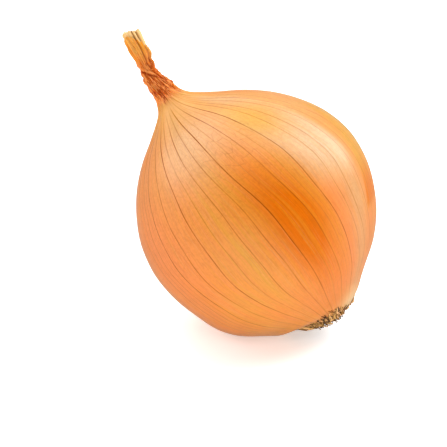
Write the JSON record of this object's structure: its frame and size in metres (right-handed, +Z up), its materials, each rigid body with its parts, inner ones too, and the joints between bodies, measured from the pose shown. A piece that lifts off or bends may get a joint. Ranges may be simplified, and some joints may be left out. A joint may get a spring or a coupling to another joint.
{
  "type": "onion",
  "caption": "Whole dry yellow globe onion lying over on its side, with papery veined skin, a withered twisted neck and a short tuft of dried roots.",
  "frame": {"origin": "middle of the small flat spot on the underside that the onion rests on", "axes": "+Z up from the table; the neck leans towards -X and up, the root end points towards +X and down; +Y across"},
  "size_m": [0.0808, 0.076, 0.0948],
  "materials": {
    "skin": "thin papery onion skin, satin gloss, orange to salmon with fine brown veins",
    "dried_root": "matt dried root fibres, dark brown with straw-coloured strands"
  },
  "bodies": {
    "root": {"bulb": "skin", "root_tuft": "dried_root"}
  },
  "joints": []
}
